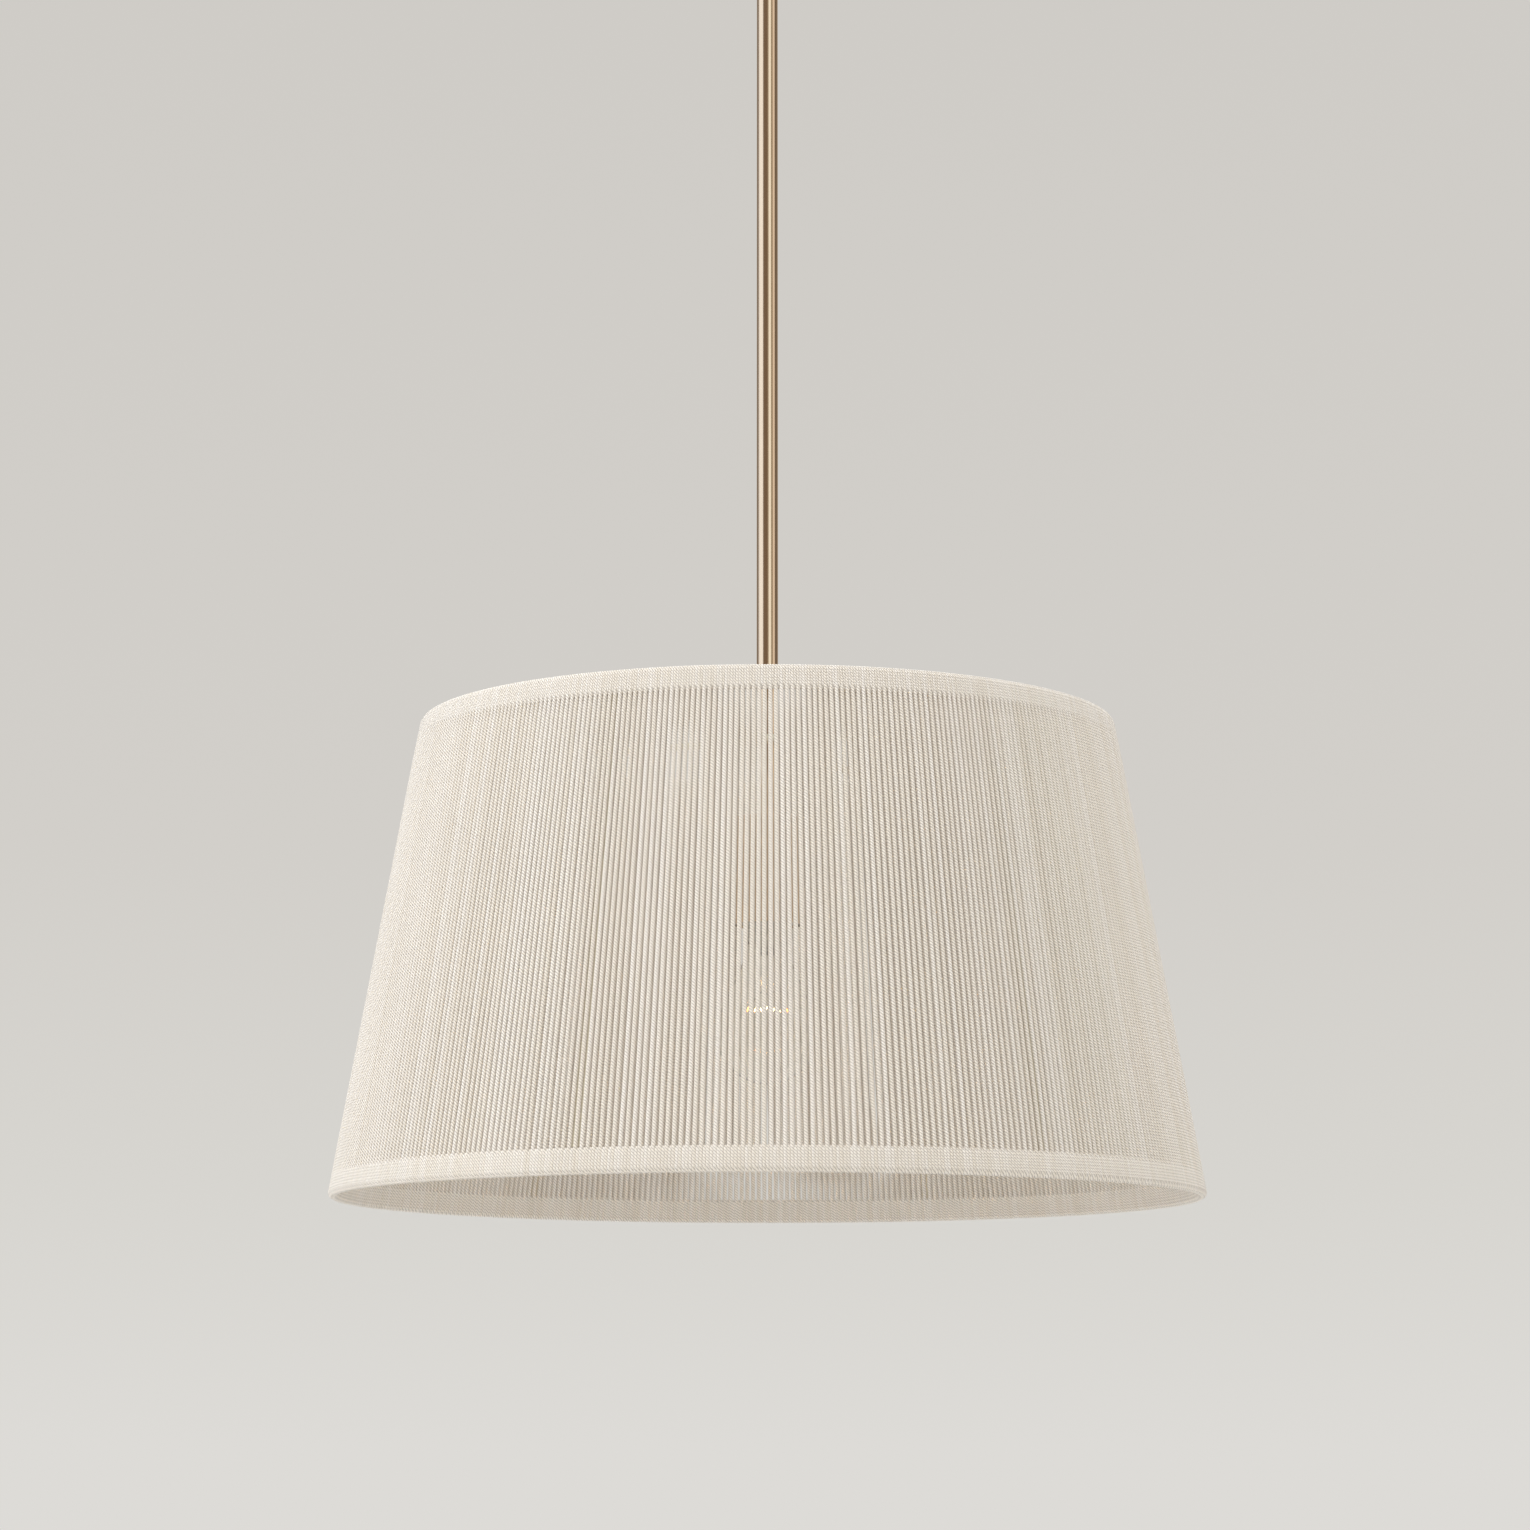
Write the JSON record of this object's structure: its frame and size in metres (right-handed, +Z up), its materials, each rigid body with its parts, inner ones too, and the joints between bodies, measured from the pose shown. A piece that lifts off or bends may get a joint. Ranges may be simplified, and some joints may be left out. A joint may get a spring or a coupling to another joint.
{
  "type": "hanging lantern",
  "caption": "Hanging lantern: a tapered drum shade wound with twisted cotton cord, a clear bulb inside, on a tubular brass stem with a hang-straight swivel and a round ceiling canopy.",
  "frame": {"origin": "middle of the mounting bracket's top face, in the plane of the ceiling, on the stem's axis", "axes": "+Z up, towards the ceiling; +X along the bracket's two slots; the lantern hangs down along -Z"},
  "size_m": [0.508, 0.508, 0.9466],
  "materials": {
    "bracket_steel": "zinc-plated, satin",
    "ground_green": "green dyed zinc",
    "satin_brass": "brushed and lacquered, satin",
    "plain_brass": "turned, bright",
    "porcelain": "glazed",
    "bulb_glass": "clear",
    "cap_alloy": "rolled, bright",
    "cap_glass": "black, fused",
    "filament_wire": "drawn wire",
    "filament_glow": "glowing tungsten",
    "cotton_cord": "twisted cotton cord, matte",
    "frame_paint": "cream powder coat",
    "black_insulation": "satin",
    "white_insulation": "satin",
    "green_insulation": "satin",
    "connector_plastic": "moulded"
  },
  "bodies": {
    "ceiling_mount": {"mounting_bracket": "bracket_steel", "ground_screw": "ground_green", "canopy_studs": "bracket_steel", "stud_nuts": "bracket_steel", "canopy": "satin_brass", "cap_nuts": "satin_brass", "swivel_collar": "satin_brass", "swivel_washer": "bracket_steel", "swivel_locknut": "bracket_steel", "line_lead_in_canopy": "black_insulation", "neutral_lead_in_canopy": "white_insulation", "ground_lead": "green_insulation", "wire_connectors": "connector_plastic"},
    "turning_yoke": {"swivel_yoke": "satin_brass", "stem_retaining_ring": "bracket_steel", "pivot_screws": "satin_brass", "line_lead_in_swivel": "black_insulation", "neutral_lead_in_swivel": "white_insulation"},
    "bulb": {"bulb_glass": "bulb_glass", "bulb_cap": "cap_alloy", "cap_insulator": "cap_glass", "tip_contact": "plain_brass", "glass_stem": "bulb_glass", "filament_supports": "filament_wire", "filament": "filament_glow"},
    "pendant": {"bottom_band": "cotton_cord", "bottom_hoop": "frame_paint", "centre_contact": "plain_brass", "husk": "satin_brass", "inner_cords": "cotton_cord", "lampholder_nipple": "plain_brass", "line_lead": "black_insulation", "lower_rod": "satin_brass", "neutral_lead": "white_insulation", "outer_cords": "cotton_cord", "rod_coupling": "plain_brass", "screw_shell": "plain_brass", "seat_washer": "satin_brass", "shade_rib_1": "frame_paint", "shade_rib_2": "frame_paint", "shade_rib_3": "frame_paint", "shade_rib_4": "frame_paint", "shade_rib_5": "frame_paint", "shade_rib_6": "frame_paint", "socket_body": "porcelain", "socket_strap": "bracket_steel", "spacer_tube": "satin_brass", "spider_arm_1": "frame_paint", "spider_arm_2": "frame_paint", "spider_arm_3": "frame_paint", "spider_arm_4": "frame_paint", "spider_hub": "frame_paint", "strap_screws": "bracket_steel", "swivel_knuckle": "satin_brass", "terminal_screws": "plain_brass", "top_band": "cotton_cord", "top_hoop": "frame_paint", "upper_rod": "satin_brass"}
  },
  "joints": [
    {"name": "swivel_turn", "type": "hinge", "parent": "ceiling_mount", "child": "turning_yoke", "pos_m": [0, 0, -0.0337], "axis": [0, 0, 1], "range_deg": [-175, 175]},
    {"name": "swivel_tilt", "type": "hinge", "parent": "turning_yoke", "child": "pendant", "pos_m": [0, 0, -0.0472], "axis": [0, 1, 0], "range_deg": [-45, 45]},
    {"name": "bulb_turn", "type": "hinge", "parent": "pendant", "child": "bulb", "pos_m": [0, 0, -0.7799], "axis": [0, 0, 1], "range_deg": [-1260, 0]}
  ]
}
